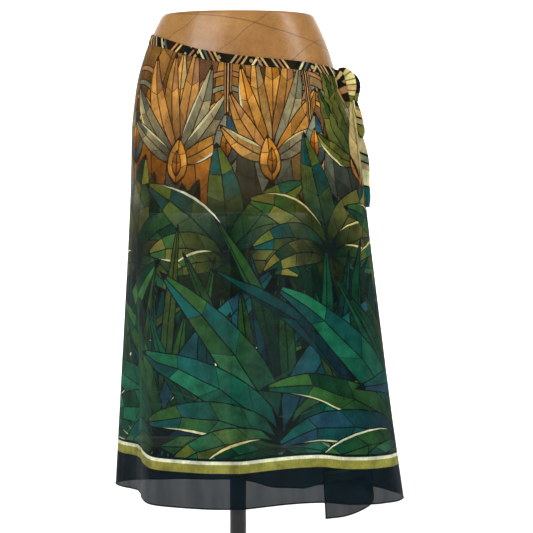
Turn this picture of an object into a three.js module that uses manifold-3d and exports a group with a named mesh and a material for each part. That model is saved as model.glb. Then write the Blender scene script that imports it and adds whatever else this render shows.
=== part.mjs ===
// A sheer wrap skirt tied at the hip of a half dress form, which stands on a pole and a round base.
// Millimetres, +Z up, the front faces -Y. The origin is the centre of the base's underside.
// Angles are degrees round the pole: 0 is the knotted hip, 90 the back, 180 the other hip, 270 the front.
import * as THREE from "three";
import { mergeVertices } from "three/addons/utils/BufferGeometryUtils.js";
import Module from "manifold-3d";

const wasm = await Module();
wasm.setup();

// Gaps and walls
const SEAM = 0.3;
const CLOTH_WALL = 1.2;
const BAND_WALL = 2.0;
const BAND_HEIGHT = 13.5;

// Dress form, its flange and its stand
const FORM_SQUARENESS = 2.2;
const FORM_SEGMENTS = 60;
const FORM_BOTTOM = 700;
const FORM_TOP = 1009;
const POLE_RADIUS = 12.7;
const FLANGE_RADIUS = 38;
const FLANGE_HEIGHT = 5;
const SLEEVE_WALL = 4;
const SLEEVE_HEIGHT = 40;
const BASE_RADIUS = 175;
const BASE_HEIGHT = 9;
const BASE_EDGE = 2.5;
const SOCKET_RADIUS = 27;
const SOCKET_HEIGHT = 32;

// Half widths and depths of the dress form at each height: a general hip shape.
const FORM_SECTIONS = [
  { z: 700, side: 143, front: 87, back: 100 },
  { z: 718, side: 152, front: 94, back: 109 },
  { z: 748, side: 161, front: 101, back: 119 },
  { z: 788, side: 165.5, front: 105, back: 127 },
  { z: 827, side: 164.8, front: 106, back: 129 },
  { z: 858, side: 162.3, front: 104.5, back: 126 },
  { z: 890, side: 158.3, front: 102, back: 121 },
  { z: 913, side: 154, front: 99.5, back: 115 },
  { z: 946, side: 144.5, front: 94, back: 105 },
  { z: 979, side: 132, front: 87.5, back: 95 },
  { z: 1009, side: 118, front: 81, back: 87 },
];

// The cloth is one wound panel. It starts under the front at -41 degrees, goes round the back and ends
// past the knot at 368. off: gap to the form. top: upper edge of the cloth, under the band.
// leave: where the cloth leaves the form. push: how far it stands off the form there.
const WIND = [
  { deg: -41, off: 0.8, top: 910, leave: 800, push: 0, hemR: 177, hemZ: 237 },
  { deg: -33, off: 0.8, top: 908, leave: 800, push: 0, hemR: 191, hemZ: 238 },
  { deg: -20, off: 0.8, top: 905, leave: 805, push: 1, hemR: 204, hemZ: 243 },
  { deg: -10, off: 0.8, top: 903, leave: 825, push: 7, hemR: 212, hemZ: 249 },
  { deg: -3, off: 0.8, top: 902, leave: 835, push: 10, hemR: 213, hemZ: 255 },
  { deg: 6, off: 0.8, top: 902, leave: 835, push: 9, hemR: 211, hemZ: 258 },
  { deg: 14, off: 0.8, top: 903, leave: 830, push: 6, hemR: 207, hemZ: 259 },
  { deg: 30, off: 0.8, top: 908, leave: 815, push: 2, hemR: 195, hemZ: 259 },
  { deg: 42, off: 0.8, top: 913, leave: 815, push: 0, hemR: 182, hemZ: 254 },
  { deg: 54, off: 0.8, top: 918, leave: 820, push: 0, hemR: 166, hemZ: 245 },
  { deg: 66, off: 0.8, top: 922, leave: 824, push: 0, hemR: 153, hemZ: 246 },
  { deg: 78, off: 0.8, top: 927, leave: 826, push: 0, hemR: 145, hemZ: 254 },
  { deg: 90, off: 0.8, top: 932, leave: 826, push: 0, hemR: 142, hemZ: 258 },
  { deg: 105, off: 0.8, top: 938, leave: 825, push: 0, hemR: 146, hemZ: 260 },
  { deg: 120, off: 0.8, top: 945, leave: 822, push: 0, hemR: 155, hemZ: 261 },
  { deg: 135, off: 0.8, top: 952, leave: 815, push: 0, hemR: 168, hemZ: 263 },
  { deg: 150, off: 0.8, top: 958, leave: 808, push: 0, hemR: 182, hemZ: 267 },
  { deg: 162, off: 0.8, top: 963, leave: 802, push: 0, hemR: 193, hemZ: 269 },
  { deg: 171, off: 0.8, top: 965, leave: 800, push: 0, hemR: 197, hemZ: 270 },
  { deg: 180, off: 0.8, top: 965, leave: 798, push: 0, hemR: 181, hemZ: 268.5 },
  { deg: 187, off: 0.8, top: 964, leave: 797, push: 0, hemR: 166, hemZ: 268.5 },
  { deg: 194, off: 0.8, top: 960, leave: 797, push: 0, hemR: 160, hemZ: 269 },
  { deg: 203, off: 0.8, top: 956, leave: 798, push: 0, hemR: 162, hemZ: 268 },
  { deg: 211, off: 0.8, top: 951, leave: 800, push: 0, hemR: 170, hemZ: 264.5 },
  { deg: 222, off: 0.8, top: 943.5, leave: 806, push: 0, hemR: 178, hemZ: 260 },
  { deg: 237, off: 0.8, top: 935, leave: 815, push: 0, hemR: 162, hemZ: 257 },
  { deg: 254, off: 0.8, top: 929, leave: 824, push: 0, hemR: 148, hemZ: 255 },
  { deg: 270, off: 0.8, top: 925, leave: 826, push: 0, hemR: 143, hemZ: 255 },
  { deg: 285, off: 1.0, top: 922.5, leave: 824, push: 0, hemR: 148, hemZ: 259 },
  { deg: 300, off: 1.8, top: 920, leave: 816, push: 0, hemR: 164, hemZ: 263 },
  { deg: 313, off: 3.2, top: 918, leave: 808, push: 0, hemR: 192, hemZ: 265 },
  { deg: 323, off: 3.8, top: 916, leave: 806, push: 0, hemR: 219, hemZ: 261 },
  { deg: 333, off: 3.8, top: 913.5, leave: 810, push: 0, hemR: 247, hemZ: 260 },
  { deg: 341, off: 3.8, top: 911, leave: 832, push: 3, hemR: 262, hemZ: 260 },
  { deg: 347, off: 3.8, top: 909, leave: 850, push: 11, hemR: 263, hemZ: 260 },
  { deg: 349, off: 3.8, top: 908, leave: 853, push: 13.5, hemR: 260, hemZ: 260 },
  { deg: 351.4, off: 3.8, top: 875.4, leave: 875, push: 16, hemR: 258, hemZ: 261 },
  { deg: 354.5, off: 3.8, top: 875.4, leave: 875, push: 18, hemR: 251, hemZ: 262 },
  { deg: 358, off: 3.8, top: 875.4, leave: 875, push: 16, hemR: 240, hemZ: 263 },
  { deg: 362, off: 3.8, top: 875.4, leave: 875, push: 15, hemR: 230, hemZ: 264 },
  { deg: 368, off: 3.8, top: 875.4, leave: 875, push: 11, hemR: 215, hemZ: 265 },
];

// Height over which the cloth comes away from the form to its full push.
const PUSH_DROP = 46;

// Upright folds that deepen towards the hem: angle, half width and depth at the hem. A minus is a trough.
const FOLDS = [
  { deg: 24, spread: 7, depth: 6 },
  { deg: 41, spread: 6, depth: -7 },
  { deg: 57, spread: 7, depth: 6 },
  { deg: 74, spread: 6, depth: -6 },
  { deg: 91, spread: 8, depth: 5 },
  { deg: 109, spread: 6, depth: -6 },
  { deg: 126, spread: 7, depth: 6 },
  { deg: 143, spread: 6, depth: -5 },
  { deg: 246, spread: 8, depth: -2 },
  { deg: 284, spread: 9, depth: 3 },
  { deg: 309, spread: 8, depth: -3 },
  { deg: 329, spread: 6, depth: 3 },
];

// Stretches of the wound cloth that show, each from one angle to the next.
const STRETCHES = [
  { name: "cloth_under_lap", from: -41, to: 20, columns: 16 },
  { name: "cloth_back", from: 20, to: 160, columns: 32 },
  { name: "cloth_side", from: 160, to: 232, columns: 22 },
  { name: "cloth_front", from: 232, to: 318, columns: 20 },
  { name: "cloth_over_lap", from: 318, to: 368, columns: 26 },
];
const BANDS = [
  { name: "band_under_lap", from: -41, to: 20, columns: 14 },
  { name: "band_back", from: 20, to: 160, columns: 28 },
  { name: "band_front", from: 160, to: 348.6, columns: 38 },
];

// How far down the cloth each row of the wall lies, as a share of its drop.
const CLOTH_ROWS = [0, 0.03, 0.07, 0.11, 0.15, 0.19, 0.235, 0.29, 0.37, 0.48, 0.6, 0.72, 0.82, 0.91, 1];
const BAND_ROWS = [0, 0.5, 1];

const KNOT_FLOOR = 876;
// Rounded lobes of the knot: centre and half sizes.
const KNOT_LOBES = [
  { x: 173.4, y: -13, z: 900, rx: 9.5, ry: 17, rz: 18 },
  { x: 178, y: -4, z: 883, rx: 11.4, ry: 17, rz: 14 },
];
// The tie's loop over the knot: centre line and radius.
const KNOT_LOOP = [
  { x: 162.5, y: -27, z: 911, r: 3.4 },
  { x: 166, y: -23, z: 916, r: 4.6 },
  { x: 171.5, y: -18, z: 918, r: 5 },
  { x: 178, y: -13, z: 912, r: 5.2 },
  { x: 181, y: -12, z: 902, r: 5.2 },
  { x: 180.5, y: -15, z: 891, r: 5 },
  { x: 178.5, y: -18, z: 883, r: 4.4 },
  { x: 177, y: -20, z: 874, r: 3 },
];
const LOOP_SIDES = 10;

// The two tie ends: centre line from the knot down, width, thickness and the turn of the width from +Y.
const TAILS = {
  tie_end_short: [
    { x: 184.8, y: -10, z: 875.6, width: 9, thick: 2.6, turn: -10 },
    { x: 188.5, y: -9, z: 866, width: 15, thick: 2.4, turn: -16 },
    { x: 193.5, y: -8, z: 853, width: 21, thick: 1.8, turn: -26 },
    { x: 197, y: -7, z: 839, width: 24, thick: 1.6, turn: -30 },
    { x: 199, y: -6, z: 827, width: 22, thick: 1.6, turn: -30 },
    { x: 198.5, y: -6, z: 817, width: 13, thick: 1.6, turn: -28 },
  ],
  tie_end_long: [
    { x: 184, y: 3.5, z: 875.6, width: 9, thick: 2.6, turn: -4 },
    { x: 187, y: 8, z: 860, width: 15, thick: 2.2, turn: -12 },
    { x: 191.5, y: 11, z: 838, width: 22, thick: 1.6, turn: -20 },
    { x: 197, y: 13, z: 808, width: 26, thick: 1.6, turn: -26 },
    { x: 203, y: 14, z: 776, width: 27, thick: 1.6, turn: -28 },
    { x: 207.5, y: 14, z: 747, width: 26, thick: 1.6, turn: -28 },
    { x: 210, y: 13, z: 725, width: 25, thick: 1.6, turn: -28 },
    { x: 210, y: 12, z: 709, width: 15, thick: 1.6, turn: -26 },
  ],
};

const finish = {
  print: { color: 0x3d4a2c, roughness: 0.85, metalness: 0 },
  band: { color: 0x2a2418, roughness: 0.85, metalness: 0 },
  tie: { color: 0x8c8250, roughness: 0.85, metalness: 0 },
  form: { color: 0xb98850, roughness: 0.45, metalness: 0 },
  stand: { color: 0x15171a, roughness: 0.4, metalness: 0.6 },
};

/** Reads a column of a table at a key between its rows, on a smooth curve that doesn't overshoot them. */
function read(table, key, column, at) {
  const last = table.length - 1;
  if (at <= table[0][key]) return table[0][column];
  if (at >= table[last][key]) return table[last][column];
  const i = table.findIndex((row) => row[key] > at) - 1;
  const step = (k) => table[k + 1][key] - table[k][key];
  const rise = (k) => (table[k + 1][column] - table[k][column]) / step(k);
  const slope = (k) => {
    if (k === 0) return rise(0);
    if (k === last) return rise(last - 1);
    const [a, b] = [rise(k - 1), rise(k)];
    return a * b <= 0 ? 0 : (2 * a * b) / (a + b);
  };
  const h = step(i);
  const s = (at - table[i][key]) / h;
  const [s2, s3] = [s * s, s * s * s];
  return (
    (2 * s3 - 3 * s2 + 1) * table[i][column] +
    (s3 - 2 * s2 + s) * h * slope(i) +
    (3 * s2 - 2 * s3) * table[i + 1][column] +
    (s3 - s2) * h * slope(i + 1)
  );
}

/** Distance from the pole's axis to the dress form's skin. */
function formRadius(deg, z) {
  const angle = THREE.MathUtils.degToRad(deg);
  const side = read(FORM_SECTIONS, "z", "side", z);
  const depth = read(FORM_SECTIONS, "z", Math.sin(angle) < 0 ? "front" : "back", z);
  const across = Math.pow(Math.abs(Math.cos(angle)) / side, FORM_SQUARENESS);
  const along = Math.pow(Math.abs(Math.sin(angle)) / depth, FORM_SQUARENESS);
  return Math.pow(across + along, -1 / FORM_SQUARENESS);
}

/** A point at an angle, a distance from the pole's axis and a height. */
function polar(deg, radius, z) {
  const angle = THREE.MathUtils.degToRad(deg);
  return new THREE.Vector3(radius * Math.cos(angle), radius * Math.sin(angle), z);
}

/** Depth of the upright folds at an angle, full at the hem. */
function foldDepth(deg) {
  return FOLDS.reduce((sum, fold) => {
    const away = (deg - fold.deg) / fold.spread;
    return sum + fold.depth * Math.exp(-away * away);
  }, 0);
}

/** Inner face of the wound cloth: drop runs from 0 at its upper edge to 1 at the hem. */
function clothPoint(deg, drop) {
  const at = (column) => read(WIND, "deg", column, deg);
  const [off, top, leave, push, hemR, hemZ] = ["off", "top", "leave", "push", "hemR", "hemZ"].map(at);
  const z = THREE.MathUtils.lerp(top, hemZ, drop);
  if (z >= leave) {
    const share = THREE.MathUtils.smoothstep(leave + PUSH_DROP - z, 0, PUSH_DROP);
    return polar(deg, formRadius(deg, z) + off + push * share, z);
  }
  const hang = (leave - z) / (leave - hemZ);
  const start = formRadius(deg, leave) + off + push;
  return polar(deg, THREE.MathUtils.lerp(start, hemR, hang) + foldDepth(deg) * hang * hang, z);
}

/** Inner face of the waistband: drop runs from 0 at its upper edge to 1 at the seam with the cloth. */
function bandPoint(deg, drop) {
  const low = read(WIND, "deg", "top", deg) + SEAM;
  const z = low + BAND_HEIGHT * (1 - drop);
  return polar(deg, formRadius(deg, z) + read(WIND, "deg", "off", deg), z);
}

/** Outward normal of a surface that is given as point(deg, drop). */
function outward(point, deg, drop) {
  const [turn, fall] = [0.4, 0.004];
  const [a, b] = [Math.max(drop - fall, 0), Math.min(drop + fall, 1)];
  const round = point(deg + turn, drop).sub(point(deg - turn, drop));
  const down = point(deg, b).sub(point(deg, a));
  return down.cross(round).normalize();
}

/** Makes a closed geometry from points and faces. */
function solidOf(points, faces) {
  const geometry = new THREE.BufferGeometry().setFromPoints(points);
  geometry.setIndex(faces.flat());
  geometry.computeVertexNormals();
  return geometry;
}

/** A wall of even thickness on a surface, between two angles. */
function wall(point, thickness, { from, to, columns, rows }) {
  const parted = THREE.MathUtils.radToDeg(SEAM / 2 / 165);
  const points = [];
  for (const side of [0, 1]) {
    for (let i = 0; i <= columns; i++) {
      const deg = THREE.MathUtils.lerp(from + parted, to - parted, i / columns);
      for (const drop of rows) {
        const p = point(deg, drop);
        points.push(p.addScaledVector(outward(point, deg, drop), side * thickness));
      }
    }
  }
  const count = rows.length;
  const at = (side, i, j) => (side * (columns + 1) + i) * count + j;
  const faces = [];
  const quad = (a, b, c, d) => faces.push([a, b, c], [a, c, d]);
  for (let i = 0; i < columns; i++) {
    for (let j = 0; j < count - 1; j++) {
      quad(at(0, i, j), at(0, i + 1, j), at(0, i + 1, j + 1), at(0, i, j + 1));
      quad(at(1, i, j), at(1, i, j + 1), at(1, i + 1, j + 1), at(1, i + 1, j));
    }
    quad(at(0, i, 0), at(1, i, 0), at(1, i + 1, 0), at(0, i + 1, 0));
    const j = count - 1;
    quad(at(0, i, j), at(0, i + 1, j), at(1, i + 1, j), at(1, i, j));
  }
  for (let j = 0; j < count - 1; j++) {
    quad(at(0, 0, j), at(0, 0, j + 1), at(1, 0, j + 1), at(1, 0, j));
    quad(at(0, columns, j), at(1, columns, j), at(1, columns, j + 1), at(0, columns, j + 1));
  }
  return solidOf(points, faces);
}

/** Joins rings of points from bottom to top into a closed solid, with a flat fan at each end. */
function loft(rings) {
  const sides = rings[0].length;
  const points = rings.flat();
  const faces = [];
  for (let k = 0; k < rings.length - 1; k++) {
    for (let i = 0; i < sides; i++) {
      const [a, b] = [k * sides + i, k * sides + ((i + 1) % sides)];
      faces.push([a, b, b + sides], [a, b + sides, a + sides]);
    }
  }
  const capped = (ring, start, flip) => {
    const middle = ring.reduce((sum, p) => sum.add(p), new THREE.Vector3()).divideScalar(sides);
    const centre = points.push(middle) - 1;
    for (let i = 0; i < sides; i++) {
      const [a, b] = [start + i, start + ((i + 1) % sides)];
      faces.push(flip ? [centre, b, a] : [centre, a, b]);
    }
  };
  capped(rings[0], 0, true);
  capped(rings[rings.length - 1], (rings.length - 1) * sides, false);
  return solidOf(points, faces);
}

/** The dress form: one smooth closed body with flat ends. */
function formBody() {
  const rings = FORM_SECTIONS.flatMap(({ z }, k) => {
    const next = FORM_SECTIONS[k + 1];
    return next ? [z, (z + next.z) / 2] : [z];
  });
  return loft(
    rings.map((z) =>
      Array.from({ length: FORM_SEGMENTS }, (_, i) => {
        const deg = (360 * i) / FORM_SEGMENTS;
        return polar(deg, formRadius(deg, z), z);
      }),
    ),
  );
}

/** A round part turned about the pole's axis from [radius, height] corners. */
function turned(profile, segments = 48) {
  const corners = profile.map(([radius, height]) => new THREE.Vector2(radius, height));
  return new THREE.LatheGeometry(corners, segments).rotateX(Math.PI / 2);
}

/** The flange under the form, with the sleeve that takes the pole. */
function formFlange() {
  const top = FORM_BOTTOM - SEAM;
  const low = top - FLANGE_HEIGHT;
  const bore = POLE_RADIUS + SEAM;
  const sleeve = bore + SLEEVE_WALL;
  return turned([
    [bore, low - SLEEVE_HEIGHT],
    [sleeve, low - SLEEVE_HEIGHT],
    [sleeve, low],
    [FLANGE_RADIUS, low],
    [FLANGE_RADIUS, top],
    [bore, top],
    [bore, low - SLEEVE_HEIGHT],
  ]);
}

/** The round base plate. */
function baseDisc() {
  return turned(
    [
      [0, 0],
      [BASE_RADIUS, 0],
      [BASE_RADIUS, BASE_HEIGHT - BASE_EDGE],
      [BASE_RADIUS - BASE_EDGE, BASE_HEIGHT],
      [0, BASE_HEIGHT],
    ],
    72,
  );
}

/** The socket on the base that holds the pole. */
function baseSocket() {
  const [low, high] = [BASE_HEIGHT + SEAM, BASE_HEIGHT + SOCKET_HEIGHT];
  const bore = POLE_RADIUS + SEAM;
  const neck = bore + SLEEVE_WALL;
  return turned([
    [bore, low],
    [SOCKET_RADIUS, low],
    [SOCKET_RADIUS, low + SLEEVE_WALL],
    [neck, low + 2 * SLEEVE_WALL],
    [neck, high],
    [bore, high],
    [bore, low],
  ]);
}

/** The pole, from the base plate to the form. */
function pole() {
  return turned([
    [0, BASE_HEIGHT + SEAM],
    [POLE_RADIUS, BASE_HEIGHT + SEAM],
    [POLE_RADIUS, FORM_BOTTOM - SEAM],
    [0, FORM_BOTTOM - SEAM],
  ]);
}

/** A closed geometry as a solid that can be joined and cut. */
function toManifold(geometry) {
  const bare = geometry.clone();
  for (const name of ["normal", "uv"]) if (bare.getAttribute(name)) bare.deleteAttribute(name);
  const merged = mergeVertices(bare, 1e-4);
  const vertProperties = new Float32Array(merged.getAttribute("position").array);
  return new wasm.Manifold(
    new wasm.Mesh({ numProp: 3, vertProperties, triVerts: new Uint32Array(merged.index.array) }),
  );
}

/** A joined or cut solid as a geometry. */
function fromManifold(solid) {
  const mesh = solid.getMesh();
  const geometry = new THREE.BufferGeometry();
  geometry.setAttribute("position", new THREE.BufferAttribute(new Float32Array(mesh.vertProperties), 3));
  geometry.setIndex(new THREE.BufferAttribute(new Uint32Array(mesh.triVerts), 1));
  geometry.computeVertexNormals();
  return geometry;
}

/** A tube with round sections across a centre line. */
function tube(line, sides) {
  const centres = line.map(({ x, y, z }) => new THREE.Vector3(x, y, z));
  const rings = line.map(({ r }, k) => {
    const ahead = centres[Math.min(k + 1, line.length - 1)];
    const behind = centres[Math.max(k - 1, 0)];
    const along = ahead.clone().sub(behind).normalize();
    const across = new THREE.Vector3(0.5, 0.87, 0).cross(along).normalize();
    const other = along.clone().cross(across);
    return Array.from({ length: sides }, (_, i) => {
      const angle = (2 * Math.PI * i) / sides;
      return centres[k]
        .clone()
        .addScaledVector(across, r * Math.cos(angle))
        .addScaledVector(other, r * Math.sin(angle));
    });
  });
  return loft(rings);
}

/** The knot: rounded lobes and the loop of the tie over them, cut flat where the cloth leaves it. */
function knot() {
  const lobes = KNOT_LOBES.map(({ x, y, z, rx, ry, rz }) =>
    toManifold(new THREE.SphereGeometry(1, 20, 14).scale(rx, ry, rz).translate(x, y, z)),
  );
  const loop = toManifold(tube(KNOT_LOOP, LOOP_SIDES));
  const joined = lobes.reduce((sum, lobe) => sum.add(lobe), loop);
  const below = toManifold(new THREE.BoxGeometry(200, 200, 100).translate(180, 0, KNOT_FLOOR - 50));
  return fromManifold(joined.subtract(below));
}

/** A flat tie end with rounded edges that hangs along its centre line. */
function tieEnd(line) {
  const rings = [...line].reverse().map(({ x, y, z, width, thick, turn }) => {
    const across = polar(turn + 90, 1, 0);
    const through = polar(turn, 1, 0);
    const outline = [
      [-0.5, -0.2],
      [-0.25, -0.5],
      [0.25, -0.5],
      [0.5, -0.2],
      [0.5, 0.2],
      [0.25, 0.5],
      [-0.25, 0.5],
      [-0.5, 0.2],
    ];
    return outline.map(([a, b]) =>
      new THREE.Vector3(x, y, z)
        .addScaledVector(across, a * width)
        .addScaledVector(through, -b * thick),
    );
  });
  return loft(rings);
}

/** Adds a named piece with a finish of its own. */
function add(group, name, geometry, look) {
  const mesh = new THREE.Mesh(geometry, new THREE.MeshStandardMaterial(look));
  mesh.name = name;
  group.add(mesh);
}

function build() {
  const group = new THREE.Group();
  add(group, "form_body", formBody(), finish.form);
  add(group, "form_flange", formFlange(), finish.stand);
  add(group, "stand_pole", pole(), finish.stand);
  add(group, "base_socket", baseSocket(), finish.stand);
  add(group, "base_disc", baseDisc(), finish.stand);
  for (const { name, ...span } of STRETCHES) {
    add(group, name, wall(clothPoint, CLOTH_WALL, { ...span, rows: CLOTH_ROWS }), finish.print);
  }
  for (const { name, ...span } of BANDS) {
    add(group, name, wall(bandPoint, BAND_WALL, { ...span, rows: BAND_ROWS }), finish.band);
  }
  add(group, "tie_knot", knot(), finish.tie);
  for (const [name, line] of Object.entries(TAILS)) {
    add(group, name, tieEnd(line), finish.tie);
  }
  return group;
}

export default build();
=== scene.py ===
# A sheer printed wrap skirt, tied at one hip of a half dress form that stands on a pole and a round base.
# Shapes are worked out in millimetres and written in metres, +Z up. The front faces -Y.
# Angles are degrees round the pole: 0 is the knotted hip, 90 the back, 180 the other hip, 270 the front.
import math
import random

import bpy
import numpy as np
from mathutils.geometry import delaunay_2d_cdt
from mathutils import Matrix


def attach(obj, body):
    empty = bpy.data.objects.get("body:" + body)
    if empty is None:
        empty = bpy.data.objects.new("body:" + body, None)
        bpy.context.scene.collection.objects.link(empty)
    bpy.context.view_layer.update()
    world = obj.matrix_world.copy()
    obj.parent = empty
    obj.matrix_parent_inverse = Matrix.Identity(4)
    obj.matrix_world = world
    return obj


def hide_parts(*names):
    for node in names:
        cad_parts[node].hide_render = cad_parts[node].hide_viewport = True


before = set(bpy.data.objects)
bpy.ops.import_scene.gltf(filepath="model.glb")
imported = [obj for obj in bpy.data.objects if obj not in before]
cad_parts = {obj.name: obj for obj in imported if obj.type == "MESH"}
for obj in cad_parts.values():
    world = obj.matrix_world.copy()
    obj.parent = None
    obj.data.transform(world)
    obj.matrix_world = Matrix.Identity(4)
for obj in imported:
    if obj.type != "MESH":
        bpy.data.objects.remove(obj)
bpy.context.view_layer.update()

MM = 0.001
BODY = "root"

# Camera: as high as the form's lower edge, in front, with a long lens.
CAMERA_AT = (0.0447, -2.9, 0.70)
CAMERA_PITCH = 1.66
CAMERA_LENS = 124.8

# Dress form: half widths and depths at each height.
FORM_SQUARENESS = 2.2
FORM_COLUMNS = ("z", "side", "front", "back")
FORM_SECTIONS = [
    (700, 143, 87, 100),
    (718, 152, 94, 109),
    (748, 161, 101, 119),
    (788, 165.5, 105, 127),
    (827, 164.8, 106, 129),
    (858, 162.3, 104.5, 126),
    (890, 158.3, 102, 121),
    (913, 154, 99.5, 115),
    (946, 144.5, 94, 105),
    (979, 132, 87.5, 95),
    (1009, 118, 81, 87),
]
FORM_ROUNDING = 5

# The wound cloth at each angle: gap to the form, upper edge, where it leaves the form, how far it stands
# off there, and the hem's distance from the pole and height.
WIND_COLUMNS = ("deg", "off", "top", "leave", "push", "hem_r", "hem_z")
WIND = [
    (-41, 0.8, 910, 800, 0, 177, 237),
    (-33, 0.8, 908, 800, 0, 191, 238),
    (-20, 0.8, 905, 805, 1, 204, 243),
    (-10, 0.8, 903, 825, 7, 212, 249),
    (-3, 0.8, 902, 835, 10, 213, 255),
    (6, 0.8, 902, 835, 9, 211, 258),
    (14, 0.8, 903, 830, 6, 207, 259),
    (30, 0.8, 908, 815, 2, 195, 259),
    (42, 0.8, 913, 815, 0, 182, 254),
    (54, 0.8, 918, 820, 0, 166, 245),
    (66, 0.8, 922, 824, 0, 153, 246),
    (78, 0.8, 927, 826, 0, 145, 254),
    (90, 0.8, 932, 826, 0, 142, 258),
    (105, 0.8, 938, 825, 0, 146, 260),
    (120, 0.8, 945, 822, 0, 155, 261),
    (135, 0.8, 952, 815, 0, 168, 263),
    (150, 0.8, 958, 808, 0, 182, 267),
    (162, 0.8, 963, 802, 0, 193, 269),
    (171, 0.8, 965, 800, 0, 197, 270),
    (180, 0.8, 965, 798, 0, 181, 268.5),
    (187, 0.8, 964, 797, 0, 166, 268.5),
    (194, 0.8, 960, 797, 0, 160, 269),
    (203, 0.8, 956, 798, 0, 162, 268),
    (211, 0.8, 951, 800, 0, 170, 264.5),
    (222, 0.8, 943.5, 806, 0, 178, 260),
    (237, 0.8, 935, 815, 0, 162, 257),
    (254, 0.8, 929, 824, 0, 148, 255),
    (270, 0.8, 925, 826, 0, 143, 255),
    (285, 1.0, 922.5, 824, 0, 148, 259),
    (300, 1.8, 920, 816, 0, 164, 263),
    (313, 3.2, 918, 808, 0, 192, 265),
    (323, 3.8, 916, 806, 0, 219, 261),
    (333, 3.8, 913.5, 810, 0, 247, 260),
    (341, 3.8, 911, 832, 3, 262, 260),
    (347, 3.8, 909, 850, 11, 263, 260),
    (349, 3.8, 908, 853, 13.5, 260, 260),
    (351.4, 3.8, 875.4, 875, 16, 258, 261),
    (354.5, 3.8, 875.4, 875, 18, 251, 262),
    (358, 3.8, 875.4, 875, 16, 240, 263),
    (362, 3.8, 875.4, 875, 15, 230, 264),
    (368, 3.8, 875.4, 875, 11, 215, 265),
]
PUSH_DROP = 46

# Upright folds that deepen towards the hem: angle, half width, depth at the hem (a minus is a trough).
FOLDS = [
    (24, 7, 6), (41, 6, -7), (57, 7, 6), (74, 6, -6),
    (91, 8, 5), (109, 6, -6), (126, 7, 6), (143, 6, -5),
    (246, 8, -2), (284, 9, 3), (309, 8, -3), (329, 6, 3),
]

# Where the cloth's face lies above the inner face of its solid, and the sizes of edges and band.
CLOTH_MIDDLE = 0.6
BAND_HEIGHT = 13.5
BAND_THICK = 1.6
SEAM = 0.3
EDGE_WIDTH = 2.2
EDGE_THICK = 0.9

# Hem border, measured up from the hem.
STRIPE_LOW = 54
STRIPE_SPLIT = 67
STRIPE_TOP = 72


def linear(hex_colour):
    """A colour written as RRGGBB, in linear light."""
    parts = [int(hex_colour[i : i + 2], 16) / 255 for i in (0, 2, 4)]
    return tuple(c / 12.92 if c <= 0.04045 else ((c + 0.055) / 1.055) ** 2.4 for c in parts)


INK_CODES = dict(
    gold="D89A45", amber="C07A22", tan="C4A468", sand="A89A70", ash="7C8268", slate="4C5A4C",
    blue="1C4050", brown="20160C", bronze="A8754A", olive="6E6C2C", moss="4C5A20", leaf="2E5A28",
    emerald="125A3C", deep="0A3A28", teal="0C4A46", cream="CDCB98", pale="D2C27C", night="0B1614",
    navy="04141A", stripe_cream="D2D6B4", stripe_olive="86843A", rust="6A2C18",
)
INK = {name: linear(code) for name, code in INK_CODES.items()}


def pairs(text):
    """Pairs of inks, each written start-end."""
    return [tuple(pair.split("-")) for pair in text.split()]


def track(xs, ys):
    """A smooth curve through points that doesn't overshoot them, as a function."""
    xs, ys = np.array(xs, float), np.array(ys, float)
    rise = np.diff(ys) / np.diff(xs)
    slope = np.empty_like(ys)
    slope[0], slope[-1] = rise[0], rise[-1]
    a, b = rise[:-1], rise[1:]
    both = np.where(a + b == 0, 1, a + b)
    slope[1:-1] = np.where(a * b <= 0, 0, 2 * a * b / both)

    def at(x):
        x = np.clip(x, xs[0], xs[-1])
        i = np.clip(np.searchsorted(xs, x, side="right") - 1, 0, len(xs) - 2)
        h = xs[i + 1] - xs[i]
        s = (x - xs[i]) / h
        s2, s3 = s * s, s * s * s
        return (
            (2 * s3 - 3 * s2 + 1) * ys[i]
            + (s3 - 2 * s2 + s) * h * slope[i]
            + (3 * s2 - 2 * s3) * ys[i + 1]
            + (s3 - s2) * h * slope[i + 1]
        )

    return at


def tracks(columns, rows):
    """One smooth curve for each column of a table, along its first column."""
    values = np.array(rows, float).T
    return {name: track(values[0], values[i]) for i, name in enumerate(columns) if i}


form_at = tracks(FORM_COLUMNS, FORM_SECTIONS)
wind_at = tracks(WIND_COLUMNS, WIND)
WIND_FROM, WIND_TO = WIND[0][0], WIND[-1][0]
SPLIT_DEG = 160


def smoothstep(x, low, high):
    s = np.clip((x - low) / (high - low), 0, 1)
    return s * s * (3 - 2 * s)


def steps_of(points):
    """Distance from each point of a line to the next."""
    return np.linalg.norm(np.diff(points, axis=0), axis=1)


def run_of(points):
    """Distance run along a line at each of its points."""
    return np.concatenate([[0], np.cumsum(steps_of(points))])


def form_radius(deg, z):
    """Distance from the pole's axis to the form's skin."""
    angle = np.radians(deg)
    depth = np.where(np.sin(angle) < 0, form_at["front"](z), form_at["back"](z))
    across = (np.abs(np.cos(angle)) / form_at["side"](z)) ** FORM_SQUARENESS
    along = (np.abs(np.sin(angle)) / depth) ** FORM_SQUARENESS
    return (across + along) ** (-1 / FORM_SQUARENESS)


def polar(deg, radius, z):
    angle = np.radians(deg)
    return np.stack([radius * np.cos(angle), radius * np.sin(angle), z + 0 * angle], -1)


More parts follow.
